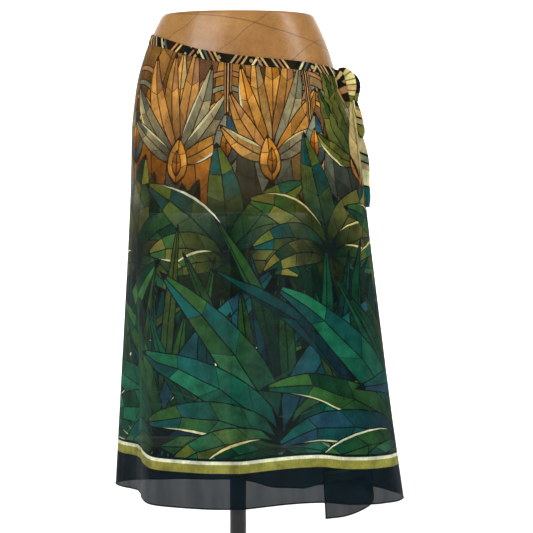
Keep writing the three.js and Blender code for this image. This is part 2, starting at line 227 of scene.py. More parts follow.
def cloth_base(deg, drop):
    """The wound cloth without its creases: drop runs from 0 at its upper edge to 1 at the hem."""
    off, top, leave, push, hem_r, hem_z = (wind_at[name](deg) for name in WIND_COLUMNS[1:])
    z = top + (hem_z - top) * drop
    on_form = form_radius(deg, z) + off + push * smoothstep(leave + PUSH_DROP - z, 0, PUSH_DROP)
    hang = np.clip((leave - z) / (leave - hem_z), 0, 1)
    start = form_radius(deg, leave) + off + push
    folds = sum(depth * np.exp(-(((deg - at) / spread) ** 2)) for at, spread, depth in FOLDS)
    hanging = start + (hem_r - start) * hang + folds * hang * hang
    return polar(deg, np.where(z >= leave, on_form, hanging) + CLOTH_MIDDLE, z)


def arc_table():
    """How far along the flat cloth each angle lies, 0 at the middle of the front, in millimetres."""
    degs = np.linspace(WIND_FROM, WIND_TO, 900)
    lengths = []
    for drop in (0.12, 0.35, 0.6, 0.85):
        lengths.append(steps_of(cloth_base(degs, np.full_like(degs, drop))))
    along = np.concatenate([[0], np.cumsum(np.mean(lengths, axis=0))])
    return degs, along - np.interp(270, degs, along)


ARC_DEGS, ARC_U = arc_table()
U_FROM, U_TO = ARC_U[0], ARC_U[-1]


def u_of(deg):
    return np.interp(deg, ARC_DEGS, ARC_U)


def deg_of(u):
    return np.interp(u, ARC_U, ARC_DEGS)


U_SPLIT = float(u_of(SPLIT_DEG))


def length_table():
    """Length of the cloth from hem to upper edge at each place along it."""
    drops = np.linspace(0, 1, 60)
    lengths = []
    for deg in ARC_DEGS[::6]:
        lengths.append(steps_of(cloth_base(np.full_like(drops, deg), drops)).sum())
    return ARC_U[::6], np.array(lengths)


LENGTH_U, LENGTH_V = length_table()


def v_top(u):
    """Height of the flat cloth's upper edge above its hem."""
    return np.interp(u, LENGTH_U, LENGTH_V)


# Creases laid on the flat cloth: from an angle and height above the hem to another angle and
# height, half width, height (a minus is a trough) and how far along its strongest point lies.
CREASES = [
    (347, 575, 326, 420, 9, -7.0, 0.2),
    (350, 585, 337, 360, 9, 5.0, 0.3),
    (346, 645, 312, 656, 5, 3.6, 0.15),
    (346, 632, 308, 634, 5, 4.4, 0.2),
    (347, 616, 310, 608, 6, 4.4, 0.2),
    (347, 600, 316, 576, 6, 4.2, 0.2),
    (348, 588, 328, 530, 6, 4.0, 0.2),
    (353, 605, 347, 520, 5, 3.0, 0.2),
    (357, 605, 353, 500, 5, -3.4, 0.2),
    (361, 605, 359, 510, 5, 3.2, 0.2),
    (250, 642, 278, 636, 4, 1.4, 0.5),
    (243, 575, 300, 590, 5, 1.6, 0.5),
    (300, 590, 326, 612, 5, 1.8, 0.4),
    (193, 400, 196, 60, 8, -4.0, 0.8),
    (203, 420, 206, 40, 8, 2.0, 0.7),
    (222, 330, 226, 20, 12, 2.5, 0.8),
    (262, 300, 258, 10, 16, -3.0, 0.8),
    (292, 420, 296, 10, 14, 3.0, 0.7),
    (318, 350, 322, 10, 12, -3.6, 0.8),
    (332, 330, 338, 10, 12, 3.2, 0.8),
    (168, 480, 166, 40, 12, 2.4, 0.8),
    (152, 430, 150, 20, 12, -3.0, 0.8),
    (134, 520, 132, 20, 14, 2.4, 0.8),
    (117, 450, 118, 20, 12, -3.2, 0.8),
    (99, 520, 100, 20, 12, 2.2, 0.8),
    (82, 470, 80, 20, 11, -3.0, 0.8),
    (64, 520, 66, 20, 12, 2.6, 0.8),
    (47, 450, 48, 20, 11, -3.0, 0.8),
    (30, 520, 31, 20, 12, 2.4, 0.8),
    (100, 640, 60, 600, 8, 1.8, 0.5),
    (140, 650, 95, 628, 8, 1.8, 0.5),
    (60, 590, 24, 560, 8, 2.0, 0.6),
]


def relief(u, v):
    """Height of the creases over the plain cloth."""
    total = np.zeros_like(u)
    for deg_a, v_a, deg_b, v_b, half, height, peak in CREASES:
        a = np.array([float(u_of(deg_a)), v_a])
        b = np.array([float(u_of(deg_b)), v_b])
        run = b - a
        t = ((u - a[0]) * run[0] + (v - a[1]) * run[1]) / (run @ run)
        held = np.clip(t, 0, 1)
        away = np.hypot(u - a[0] - held * run[0], v - a[1] - held * run[1])
        fade = np.where(held < peak, smoothstep(held, -0.02, peak), smoothstep(1 - held, -0.02, 1 - peak))
        total += height * fade * np.exp(-((away / half) ** 2))
    return total


def facing(place, u, v, step):
    """Direction straight out of a surface whose places are given by flat ones."""
    along = place(np.minimum(u + step, U_TO), v) - place(np.maximum(u - step, U_FROM), v)
    up = place(u, np.minimum(v + step, v_top(u))) - place(u, np.maximum(v - step, 0))
    normal = np.cross(along, up)
    return normal / (np.linalg.norm(normal, axis=-1, keepdims=True) + 1e-12)


def plain_point(u, v):
    return cloth_base(deg_of(u), 1 - v / v_top(u))


def cloth_point(u, v, lift=0.0):
    """Place of a point of the flat cloth on the worn one. Troughs are shallow where it lies on the form."""
    height = relief(u, v)
    height = np.where(height < 0, height * (1 - 0.8 * smoothstep(v, 500, 560)), height)
    return plain_point(u, v) + facing(plain_point, u, v, 1.5) * (height + lift)[..., None]


def cloth_normal(u, v):
    return facing(cloth_point, u, v, 1.2)


def band_point(deg, rise, lift=0.0):
    """Place on the waistband: rise runs from 0 at the seam to 1 at its upper edge."""
    z = wind_at["top"](deg) + SEAM + BAND_HEIGHT * rise
    return polar(deg, form_radius(deg, z) + wind_at["off"](deg) + lift, z)


class Print:
    """A flat design: shapes laid over each other, each with a colour that may change across it."""

    def __init__(self, outline, paint, spacing):
        self.outline = outline
        self.shapes = [(outline, paint)]
        self.spacing = spacing

    def lay(self, points, paint, longest=20.0):
        points = self.parted(np.asarray(points, float), longest)
        if (points.max(0) >= self.outline.min(0)).all() and (points.min(0) <= self.outline.max(0)).all():
            self.shapes.append((points, paint))

    def parted(self, points, longest):
        """The outline run anticlockwise, with its long edges cut up."""
        ahead = np.roll(points, -1, axis=0)
        if (points[:, 0] * ahead[:, 1] - ahead[:, 0] * points[:, 1]).sum() < 0:
            points = points[::-1]
            ahead = np.roll(points, -1, axis=0)
        parts = []
        for a, b in zip(points, ahead):
            count = max(1, math.ceil(np.hypot(*(b - a)) / longest))
            parts.append(a + (b - a) * (np.arange(count) / count)[:, None])
        return np.concatenate(parts)

    def drop_hidden(self):
        """Leaves out each shape that later ones cover wholly, seen on cells of 1 mm."""
        low = np.floor(self.outline.min(0)).astype(int)
        wide, high = np.ceil(self.outline.max(0)).astype(int) - low
        top = np.zeros((high, wide), int)
        for number, (points, _) in enumerate(self.shapes):
            first = np.maximum(np.floor(points.min(0) - low).astype(int), 0)
            last = np.minimum(np.ceil(points.max(0) - low).astype(int), (wide, high))
            if (last <= first).any():
                continue
            xs = low[0] + np.arange(first[0], last[0]) + 0.5
            ys = (low[1] + np.arange(first[1], last[1]) + 0.5)[:, None]
            inside = np.zeros((len(ys), len(xs)), bool)
            for (ax, ay), (bx, by) in zip(points, np.roll(points, -1, axis=0)):
                if ay != by:
                    inside ^= ((ys < ay) != (ys < by)) & (xs < ax + (ys - ay) * (bx - ax) / (by - ay))
            top[first[1] : last[1], first[0] : last[0]][inside] = number
        seen = set(np.unique(top)) | {0}
        self.shapes = [shape for number, shape in enumerate(self.shapes) if number in seen]

    def mesh(self):
        """Flat points, triangles and the colours of the triangles' corners."""
        self.drop_hidden()
        coords, faces = [], []
        for points, _ in self.shapes:
            faces.append(list(range(len(coords), len(coords) + len(points))))
            coords.extend(map(tuple, points))
        low, high = self.outline.min(0), self.outline.max(0)
        for i, x in enumerate(np.arange(low[0], high[0], self.spacing)):
            shift = self.spacing / 2 if i % 2 else 0
            coords.extend((x, y) for y in np.arange(low[1] + shift, high[1], self.spacing))
        verts, _, tris, _, _, owners = delaunay_2d_cdt(coords, [], faces, 0, 1e-4, True)
        flat = np.array([tuple(v) for v in verts])
        kept = [(tri, max(own)) for tri, own in zip(tris, owners) if own and 0 in own]
        triangles = np.array([tri for tri, _ in kept])
        tops = np.array([top for _, top in kept])
        colours = np.empty((len(triangles), 3, 3))
        for top in np.unique(tops):
            at = tops == top
            paint = self.shapes[top][1]
            corners = flat[triangles[at]]
            colours[at] = paint(corners[..., 0], corners[..., 1])
        return flat, triangles, colours


def even(name):
    """One ink all over a shape."""
    ink = np.array(INK[name])
    return lambda u, v: np.broadcast_to(ink, (*u.shape, 3))


def blend(start, end, a, b, depth=1.0):
    """Ink that turns from one colour at point a to another at point b, from a share of its strength."""
    first, last = np.array(INK[start]), np.array(INK[end])
    a, run = np.array(a, float), np.array(b, float) - np.array(a, float)

    def paint(u, v):
        t = ((u - a[0]) * run[0] + (v - a[1]) * run[1]) / (run @ run)
        t = np.clip(t, 0, 1)[..., None]
        return (first * (1 - t) + last * t) * (depth + (1 - depth) * t)

    return paint


def heading(angle, bend, t):
    """Direction of a bending line at a share of its length, from the upward direction."""
    turn = np.radians(angle) + np.radians(bend) * t
    return turn + np.arctan(np.radians(bend) * t)


def spine(base, angle, length, bend, t):
    """A point of a bending line."""
    t = np.asarray(t, float)
    turn = np.radians(angle) + np.radians(bend) * t
    return np.array(base, float) + (length * t)[..., None] * np.stack([np.sin(turn), np.cos(turn)], -1)


def rim_of(leaf, t, side, grow=0.0):
    """A point of a leaf's edge. A leaf is its base, angle, length, width and bend."""
    base, angle, length, width, bend = leaf
    t = np.asarray(t, float)
    turn = heading(angle, bend, t)
    half = width / 2 * np.sin(np.pi * np.clip(t, 0, 1) ** 0.85) ** 0.8 + grow
    out = np.stack([np.cos(turn), -np.sin(turn)], -1) * (side * half)[..., None]
    return spine(base, angle, length, bend, t) + out


def leaf_outline(leaf, grow=0.0):
    """The closed outline of a pointed leaf."""
    base, angle, length, width, bend = leaf
    t = np.linspace(0.02, 0.97, 10)
    low = spine(base, angle, length, bend, -grow / length)
    high = spine(base, angle, length, bend, 1 + 1.5 * grow / length)
    return np.concatenate([[low], rim_of(leaf, t, 1, grow), [high], rim_of(leaf, t, -1, grow)[::-1]])


def ribbon(points, widths):
    """A strip along points, with a width at each."""
    points = np.asarray(points, float)
    widths = np.broadcast_to(np.asarray(widths, float), (len(points),))
    run = np.gradient(points, axis=0)
    run /= np.linalg.norm(run, axis=1, keepdims=True)
    side = np.stack([run[:, 1], -run[:, 0]], 1) * widths[:, None] / 2
    return np.concatenate([points + side, (points - side)[::-1]])


def disc(centre, radius, count):
    angles = np.linspace(0, 2 * math.pi, count, endpoint=False)
    return np.stack([centre[0] + radius * np.cos(angles), centre[1] + radius * np.sin(angles)], 1)


def curve(start, angle, length, bend, count):
    """Points along a bending line."""
    return spine(start, angle, length, bend, np.linspace(0, 1, count))


def toned(paint, factor):
    return lambda u, v: paint(u, v) * factor


def paned_leaf(design, leaf, inks, dice, panes=5, line=1.7, lead="night", tone=1.0, root=0.4):
    """A leaf of coloured panes between dark lead lines, darker at its base, with a line down its middle."""
    base, angle, length, width, bend = leaf
    design.lay(leaf_outline(leaf, line), even(lead))
    cuts = np.linspace(0.03, 0.96, panes + 1)
    gap = 0.55 / length
    tip = spine(base, angle, length, bend, 0.75)
    shades = [blend(a, b, base, tip, root) for a, b in (inks, inks[::-1])]
    for side in (-1, 1):
        for k, (low, high) in enumerate(zip(cuts, cuts[1:])):
            inner = np.array([high - gap, low + gap])
            outer = np.array([low + gap, (low + high) / 2, high - gap])
            outer = np.minimum(outer + 0.2 * (1 - outer) ** 1.5, 0.985)
            inside = spine(base, angle, length, bend, inner)
            turn = heading(angle, bend, inner)
            inside = inside + np.stack([np.cos(turn), -np.sin(turn)], -1) * side * 0.9
            shade = shades[1 if (k + (side > 0)) % 5 == 3 else 0]
            shade = toned(shade, tone * dice.uniform(0.65, 1.35))
            design.lay(np.concatenate([inside, rim_of(leaf, outer, side)]), shade)


def sliver(design, leaf, ink, side, width, low=0.25, high=0.85):
    """A pale crescent along a leaf's edge."""
    t = np.linspace(low, high, 7)
    swell = width * np.sin(np.pi * (t - low) / (high - low))
    outer = rim_of(leaf, t, side, 0.4)
    inner = np.stack([rim_of(leaf, a, side, -b) for a, b in zip(t, swell)])
    design.lay(np.concatenate([outer, inner[::-1][1:-1]]), even(ink))


# The print's ground: dark below, greener in the middle, sand and gold above.
GROUND = ((0, "navy"), (110, "navy"), (200, "night"), (330, "deep"), (420, "deep"), (470, "moss"),
          (530, "bronze"), (600, "tan"), (650, "gold"), (720, "amber"))


def ground(u, v):
    heights, names = zip(*GROUND)
    cloud = 1 + 0.3 * np.sin(u / 23 + 2 * np.sin(v / 31)) * np.sin(v / 27 + 1.7 * np.sin(u / 37))
    ink = [np.interp(v, heights, [INK[name][c] for name in names]) for c in range(3)]
    return np.stack(ink, -1) * cloud[..., None]


# Leaves of each tier, drawn from the back to the front: angle, length, width, bend.
LOW_LEAVES = [
    (-9, 300, 52, -22), (13, 286, 52, 26), (-24, 262, 54, -34), (29, 246, 54, 38),
    (-40, 212, 56, -40), (45, 196, 54, 42), (-57, 164, 48, -40), (63, 148, 44, 40),
    (-78, 112, 34, -26), (84, 104, 32, 24),
]
MIDDLE_LEAVES = [
    (4, 178, 56, 6), (-24, 170, 54, -22), (30, 172, 54, 24), (-50, 146, 50, -30),
    (56, 140, 48, 32), (-76, 112, 38, -26), (80, 108, 36, 26),
]
HIGH_BLADES = [
    (-2, 176, 32, 2), (-17, 180, 30, 8), (15, 178, 30, -8), (-33, 168, 32, 12),
    (31, 166, 32, -12), (-51, 140, 30, 14), (49, 142, 30, -14), (-70, 104, 26, 12),
    (69, 106, 26, -12),
]
LOW_INKS = pairs("deep-emerald teal-emerald deep-leaf emerald-moss blue-teal teal-leaf")
MIDDLE_INKS = pairs("deep-olive emerald-moss teal-moss leaf-olive deep-leaf")
HIP_INKS = pairs("leaf-olive moss-olive olive-tan emerald-olive")
HIGH_INKS = pairs("bronze-gold ash-tan amber-gold slate-sand tan-gold ash-sand")


def lay_clump(design, base, leaves, inks, dice, size=1.0, **look):
    """A tuft of leaves that fan out from one root."""
    flip = dice.choice((-1, 1))
    for k, (angle, length, width, bend) in enumerate(leaves):
        grown = size * dice.uniform(0.92, 1.08)
        leaf = (base, flip * angle + dice.uniform(-4, 4), length * grown, width * grown, flip * bend)
        paned_leaf(design, leaf, dice.choice(inks), dice, **look)
        if dice.random() < 0.65:
            ink = dice.choice(("cream", "pale", "stripe_cream"))
            side, swell = dice.choice((-1, 1)), dice.uniform(1.8, 4.0)
            if k > 1:
                sliver(design, leaf, ink, side, swell)


def lay_arches(design, u, v, dice):
    """Pointed arches of thin brown tracery behind the upper blades."""
    for half, height, ink in ((78, 96, "bronze"), (62, 74, "ash"), (46, 52, "gold")):
        t = np.linspace(0, 1, 12)
        left = np.stack([u - half * (1 - t ** 1.7), v + height * np.sin(np.pi / 2 * t)], 1)
        right = np.stack([2 * u - left[:, 0], left[:, 1]], 1)[::-1]
        arch = np.concatenate([left, right[1:]])
        design.lay(ribbon(arch, 9.5), even("brown"))
        design.lay(ribbon(arch, 6), toned(even(ink), dice.uniform(0.8, 1.2)))


def lay_bough(design, u, dice):
    """A dark upright bough with pale lines down it."""
    line = curve((u, 430), dice.uniform(-3, 3), 290, dice.uniform(-7, 7), 14)
    widths = np.linspace(5, 19, 14)
    design.lay(ribbon(line, widths), even("brown"))
    for share in (-0.34, 0, 0.34):
        offset = widths[:, None] * share * np.array([1, 0])
        design.lay(ribbon(line + offset, np.linspace(0.8, 2.2, 14)), even("bronze" if share else "tan"))


def lay_pod(design, u, v, size, inks, dice):
    """A drop-shaped pod in panes, point up."""
    leaf = ((u, v), dice.uniform(-6, 6), 74 * size, 36 * size, 0)
    paned_leaf(design, leaf, inks, dice, 3, 2.2, "brown")
    heart = ((u, v + 14 * size), 0, 40 * size, 15 * size, 0)
    paned_leaf(design, heart, ("rust", "amber"), dice, 2, 1.6, "brown")


def lay_tuft(design, u, dice):
    """A low spray of thin pale rays above the border."""
    for angle in range(-64, 65, 16):
        ray = curve((u, 70), angle, dice.uniform(36, 56), dice.uniform(-6, 6), 5)
        ink = dice.choice(("ash", "cream", "sand", "slate"))
        design.lay(ribbon(ray, (1.0, 1.6, 2.2, 2.4, 0.8)), even(ink))


def lay_reeds(design, dice):
    """Thin reeds that rise out of the dark border, between the clumps."""
    u = U_FROM + 4
    while u < U_TO:
        start = (u, 70)
        ink = dice.choice(("teal", "deep", "moss", "slate", "blue", "emerald"))
        line = curve(start, dice.uniform(-12, 12), dice.uniform(50, 190), dice.uniform(-22, 22), 7)
        design.lay(ribbon(line, (1.0, 3.0, 4.2, 4.6, 4.0, 2.6, 0.8)), even(ink))
        u += dice.uniform(9, 17)


# Upright blades behind the tufts, from the top row down: height, length, width, inks, lead, tone.
BACKING = [
    (560, 190, 58, pairs("bronze-tan amber-gold brown-bronze bronze-gold"), "brown", 0.55),
    (420, 210, 60, pairs("slate-ash moss-bronze rust-amber brown-slate"), "brown", 0.7),
    (270, 220, 60, pairs("night-deep deep-moss night-leaf deep-emerald"), "night", 0.35),
    (70, 270, 60, pairs("night-deep navy-blue night-teal navy-deep"), "night", 0.45),
]
# Pale blades that run up into the knot.
KNOT_BLADES = [((232, 500), 8, 160, 32, 4), ((262, 470), 3, 160, 30, -3), ((290, 510), -5, 130, 26, -6)]
CLUMP_STEP = 172
CLUMP_START = 66
BACKING_STEP = 46
# Heights above the hem at which each tier starts, and the thin blades between the low tufts.
ARCH_BASE = 562
HIGH_ROOT = 520
POD_BASES = (510, 486)
MIDDLE_ROOT = 366
LOW_ROOT = 84
BLADES = 15


def skirt_design():
    """The whole cloth's print, from its inner end to its outer one."""
    us = np.linspace(U_FROM, U_TO, 180)
    upper = [(u, float(v_top(u))) for u in us[::-1]]
    lower = [(u, 0.0) for u in us]
    design = Print(np.array(lower + upper), ground, 11.0)
    inner_upper = [(u, v) for u, v in upper if u < U_SPLIT]
    inner_end = [(U_SPLIT, 0.0), (U_SPLIT, float(v_top(U_SPLIT)))]
    design.lay([(U_FROM, 0.0)] + inner_end + inner_upper, ground, 8.0)
    dice = random.Random(11)
    roots = [CLUMP_START + CLUMP_STEP * k + dice.uniform(-10, 10) for k in range(-6, 3)]
    for v, length, width, inks, lead, tone in BACKING:
        for u in np.arange(U_FROM, U_TO + 40, BACKING_STEP):
            base = (u + dice.uniform(-6, 6), v + dice.uniform(-16, 16))
            leaf = (base, dice.uniform(-9, 9), length, width, dice.uniform(-10, 10))
            paned_leaf(design, leaf, dice.choice(inks), dice, 3, 1.6, lead, tone)
    for u in roots:
        lay_arches(design, u + CLUMP_STEP / 2, ARCH_BASE, dice)
    for u in roots:
        inks = HIP_INKS if u > 200 or u < -700 else HIGH_INKS
        look = {"panes": 3, "line": 1.9, "lead": "brown", "tone": 0.9}
        lay_clump(design, (u, HIGH_ROOT), HIGH_BLADES, inks, dice, **look)
        lay_bough(design, u + CLUMP_STEP / 2, dice)
        lay_pod(design, u + CLUMP_STEP / 2, POD_BASES[0] + dice.uniform(-8, 8), 1.15, ("blue", "ash"), dice)
        lay_pod(design, u, POD_BASES[1], 0.95, ("amber", "gold"), dice)
    for leaf in KNOT_BLADES:
        paned_leaf(design, leaf, ("tan", "pale"), dice, 3, 1.6, "brown", 0.9)
    for u in roots:
        root = (u + CLUMP_STEP / 2 + dice.uniform(-10, 10), MIDDLE_ROOT + dice.uniform(-14, 14))
        lay_clump(design, root, MIDDLE_LEAVES, MIDDLE_INKS, dice, panes=4, tone=0.85, root=0.05)
    lay_reeds(design, dice)
    for u in roots:
        for k in range(-(BLADES // 2), BLADES // 2 + 1):
            base = (u + CLUMP_STEP * k / BLADES, STRIPE_TOP + dice.uniform(0, 90))
            blade = (base, 5 * k * dice.uniform(0.3, 1.1), dice.uniform(150, 300), dice.uniform(15, 25))
            inks = dice.choice(LOW_INKS)
            paned_leaf(design, (*blade, dice.uniform(-24, 24)), inks, dice, 2, 1.5, "night", 0.5)
        root = (u + dice.uniform(-8, 8), LOW_ROOT + dice.uniform(-6, 10))
        lay_clump(design, root, LOW_LEAVES, LOW_INKS, dice, panes=4, line=2.0, tone=1.0)
        lay_tuft(design, u + CLUMP_STEP / 2, dice)
    borders = (
        (0, STRIPE_LOW, "navy"),
        (STRIPE_LOW, STRIPE_SPLIT, "stripe_olive"),
        (STRIPE_SPLIT, STRIPE_TOP, "stripe_cream"),
        (STRIPE_TOP, STRIPE_TOP + 4, "navy"),
    )
    left, right = U_FROM - 5, U_TO + 5
    for low, high, ink in borders:
        design.lay([(left, low), (right, low), (right, high), (left, high)], even(ink), 5.0)
    return design


# What shows through the mesh, from dark inks to light ones, where it hangs and where it is stretched.
# It is stretched above these heights and before these angles, where the outer end starts to hang free.
HANGING_SHOWS = (0.043, 0.13)
STRETCHED_SHOWS = (0.15, 0.34)
STRETCHED_HEIGHTS = (425, 460)
STRETCHED_ANGLES = (316, 330)


def stretch_at(u, v):
    """How tight the mesh is drawn over the form, from 0 to 1."""
    return smoothstep(v, *STRETCHED_HEIGHTS) * (1 - smoothstep(deg_of(u), *STRETCHED_ANGLES))


def see_through(colours, stretch):
    """How much of what is behind shows through each ink."""
    light = np.clip(colours @ np.array([0.3, 0.5, 0.2]), 0, 1) ** 0.5
    low, high = (a + (b - a) * stretch for a, b in zip(HANGING_SHOWS, STRETCHED_SHOWS))
    return low + (high - low) * light


def new_object(name, points, faces, material):
    mesh = bpy.data.meshes.new(name)
    mesh.from_pydata([tuple(p) for p in np.asarray(points) * MM], [], [tuple(f) for f in faces])
    mesh.materials.append(material)
    mesh.shade_smooth()
    piece = bpy.data.objects.new(name, mesh)
    bpy.context.scene.collection.objects.link(piece)
    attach(piece, BODY)
    return piece


def set_print(piece, colours, stretch=0.0):
    """Stores inks on the mesh's corners, with the share of light that passes as the fourth value."""
    mesh = piece.data
    layer = mesh.color_attributes.new("print", "FLOAT_COLOR", "CORNER")
    flat = colours.reshape(-1, 3)
    values = np.concatenate([flat, see_through(flat, stretch)[:, None]], 1)
    layer.data.foreach_set("color", values.astype(np.float32).ravel())


def nodes_of(name):
    """A new material with an empty node tree, and its two makers."""
    material = bpy.data.materials.new(name)
    material.use_nodes = True
    tree = material.node_tree
    tree.nodes.clear()
    return material, tree, tree.nodes.new, tree.links.new


def preset(node, **values):
    """Sets a node's inputs by name, with _ for a space."""
    for name, value in values.items():
        node.inputs[name.replace("_", " ")].default_value = value
    return node


def shown(tree, shader):
    """Makes a shader the material's surface."""
    tree.links.new(shader.outputs[0], tree.nodes.new("ShaderNodeOutputMaterial").inputs["Surface"])


def times(tree, a, b):
    node = tree.nodes.new("ShaderNodeMath")
    node.operation = "MULTIPLY"
    tree.links.new(a, node.inputs[0])
    tree.links.new(b, node.inputs[1])
    return node.outputs[0]


def noise(tree, place, scale, detail=3.0, rough=0.55):
    node = preset(tree.nodes.new("ShaderNodeTexNoise"), Scale=scale, Detail=detail, Roughness=rough)
    tree.links.new(place, node.inputs["Vector"])
    return node.outputs["Fac"]


def span_of(tree, value, low, high, to_low, to_high):
    node = preset(tree.nodes.new("ShaderNodeMapRange"), From_Min=low, From_Max=high)
    preset(node, To_Min=to_low, To_Max=to_high)
    tree.links.new(value, node.inputs["Value"])
    return node.outputs["Result"]


def stretched(tree, place, scale):
    node = preset(tree.nodes.new("ShaderNodeMapping"), Scale=scale)
    tree.links.new(place, node.inputs["Vector"])
    return node.outputs["Vector"]


def scaled(tree, colour, factor):
    node = tree.nodes.new("ShaderNodeVectorMath")
    node.operation = "SCALE"
    tree.links.new(colour, node.inputs[0])
    tree.links.new(factor, node.inputs["Scale"])
    return node.outputs["Vector"]


def two_tones(tree, value, low, low_code, high, high_code):
    """Colour that runs from one tone to another as a value rises."""
    node = tree.nodes.new("ShaderNodeValToRGB")
    tree.links.new(value, node.inputs["Fac"])
    for element, at, code in zip(node.color_ramp.elements, (low, high), (low_code, high_code)):
        element.position = at
        element.color = (*linear(code), 1)
    return node.outputs["Color"]


def raised(tree, shader, height, strength, distance):
    """Fine relief on a shader."""
    bump = preset(tree.nodes.new("ShaderNodeBump"), Strength=strength, Distance=distance)
    tree.links.new(height, bump.inputs["Height"])
    tree.links.new(bump.outputs["Normal"], shader.inputs["Normal"])


def cloth_material(name, solid=False):
    """Printed mesh: inks from the piece, mottled as dye is, with a fine knit."""
    material, tree, new, link = nodes_of(name)
    place = new("ShaderNodeTexCoord").outputs["Object"]
    ink = new("ShaderNodeAttribute")
    ink.attribute_name = "print"
    mottle = span_of(tree, noise(tree, place, 46, 5, 0.6), 0.32, 0.68, 0.6, 1.4)
    grain = span_of(tree, noise(tree, stretched(tree, place, (1, 1, 0.35)), 420, 2), 0.3, 0.7, 0.86, 1.14)
    shader = preset(new("ShaderNodeBsdfPrincipled"), Roughness=0.65, Specular_IOR_Level=0.05)
    link(scaled(tree, ink.outputs["Color"], times(tree, mottle, grain)), shader.inputs["Base Color"])
    raised(tree, shader, noise(tree, stretched(tree, place, (1, 1, 0.5)), 900, 2), 0.25, 0.0006)
    if solid:
        shown(tree, shader)
        return material
    mix = new("ShaderNodeMixShader")
    wave = span_of(tree, noise(tree, stretched(tree, place, (30, 30, 7)), 1.6, 3), 0.35, 0.65, 0.82, 1.18)
    link(times(tree, ink.outputs["Alpha"], wave), mix.inputs[0])
    link(shader.outputs[0], mix.inputs[1])
    link(new("ShaderNodeBsdfTransparent").outputs[0], mix.inputs[2])
    shown(tree, mix)
    return material


def form_material():
    """Varnished tan paper skin with slanting lap lines and fine crinkles."""
    material, tree, new, link = nodes_of("form_paper")
    place = new("ShaderNodeTexCoord").outputs["Object"]
    lines = []
    for turn in ((0.3, 0.2, 1.0), (-0.9, 0.35, 1.15)):
        wave = preset(new("ShaderNodeTexWave"), Scale=5.5, Distortion=2.2, Detail=2, Detail_Scale=1.4)
        wave.bands_direction = "DIAGONAL"
        link(stretched(tree, place, turn), wave.inputs["Vector"])
        lines.append(span_of(tree, wave.outputs["Fac"], 0.9985, 1.0, 1.0, 0.58))
    dark = times(tree, *lines)
    speck = span_of(tree, noise(tree, place, 260, 3), 0.3, 0.7, 0.9, 1.1)
    tan = two_tones(tree, noise(tree, place, 9, 5), 0.3, "8F602C", 0.72, "C4914F")
    shader = new("ShaderNodeBsdfPrincipled")
    link(scaled(tree, tan, times(tree, dark, speck)), shader.inputs["Base Color"])
    link(span_of(tree, noise(tree, place, 40, 3), 0.3, 0.7, 0.22, 0.38), shader.inputs["Roughness"])
    crinkle = new("ShaderNodeMath")
    link(noise(tree, place, 70, 4), crinkle.inputs[0])
    link(dark, crinkle.inputs[1])
    raised(tree, shader, crinkle.outputs[0], 0.3, 0.0012)
    shown(tree, shader)
    return material


def metal_material():
    """Black powder-coated steel."""
    material, tree, new, link = nodes_of("black_powder_coat")
    place = new("ShaderNodeTexCoord").outputs["Object"]
    shader = new("ShaderNodeBsdfPrincipled")
    black = two_tones(tree, noise(tree, place, 12, 3), 0.3, "151618", 0.7, "1F2023")
    link(black, shader.inputs["Base Color"])
    link(span_of(tree, noise(tree, place, 60, 3), 0.3, 0.7, 0.38, 0.55), shader.inputs["Roughness"])
    raised(tree, shader, noise(tree, place, 1400, 1), 0.3, 0.0004)
    shown(tree, shader)
    return material


def grid_faces(columns, rows, closed=False):
    """Quads of a grid whose points run row by row."""
    faces = []
    for j in range(rows - 1):
        for i in range(columns if closed else columns - 1):
            k = (i + 1) % columns
            faces.append((j * columns + i, j * columns + k, (j + 1) * columns + k, (j + 1) * columns + i))
    return faces


def swept(name, sections, material, colours=None):
    """A tube whose sections are rings of points, with flat ends."""
    rings, sides = len(sections), len(sections[0])
    points = np.concatenate(sections)
    faces = grid_faces(sides, rings, True)
    faces.append(tuple(range(sides))[::-1])
    faces.append(tuple((rings - 1) * sides + i for i in range(sides)))
    piece = new_object(name, points, faces, material)
    if colours is not None:
        per_point = np.repeat(np.asarray(colours), sides, axis=0)
        corners = np.concatenate([per_point[list(face)] for face in faces])
        set_print(piece, corners)
    return piece


def make_form():
    """The dress form's skin, with softly rounded edges."""
    low, high = FORM_SECTIONS[0][0], FORM_SECTIONS[-1][0]
    degs = np.linspace(0, 360, 160, endpoint=False)
    quarter = np.linspace(0, math.pi / 2, 6)
    inset, rise = FORM_ROUNDING * (1 - np.sin(quarter)), FORM_ROUNDING * (1 - np.cos(quarter))
    middle = np.linspace(low + FORM_ROUNDING, high - FORM_ROUNDING, 74)[1:-1]
    heights = np.concatenate([low + rise, middle, (high - rise)[::-1]])
    insets = np.concatenate([inset, 0 * middle, inset[::-1]])
    rings = [polar(degs, form_radius(degs, z) - gap, z) for z, gap in zip(heights, insets)]
    piece = swept("form_skin", rings, form_material())
    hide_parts("form_body")


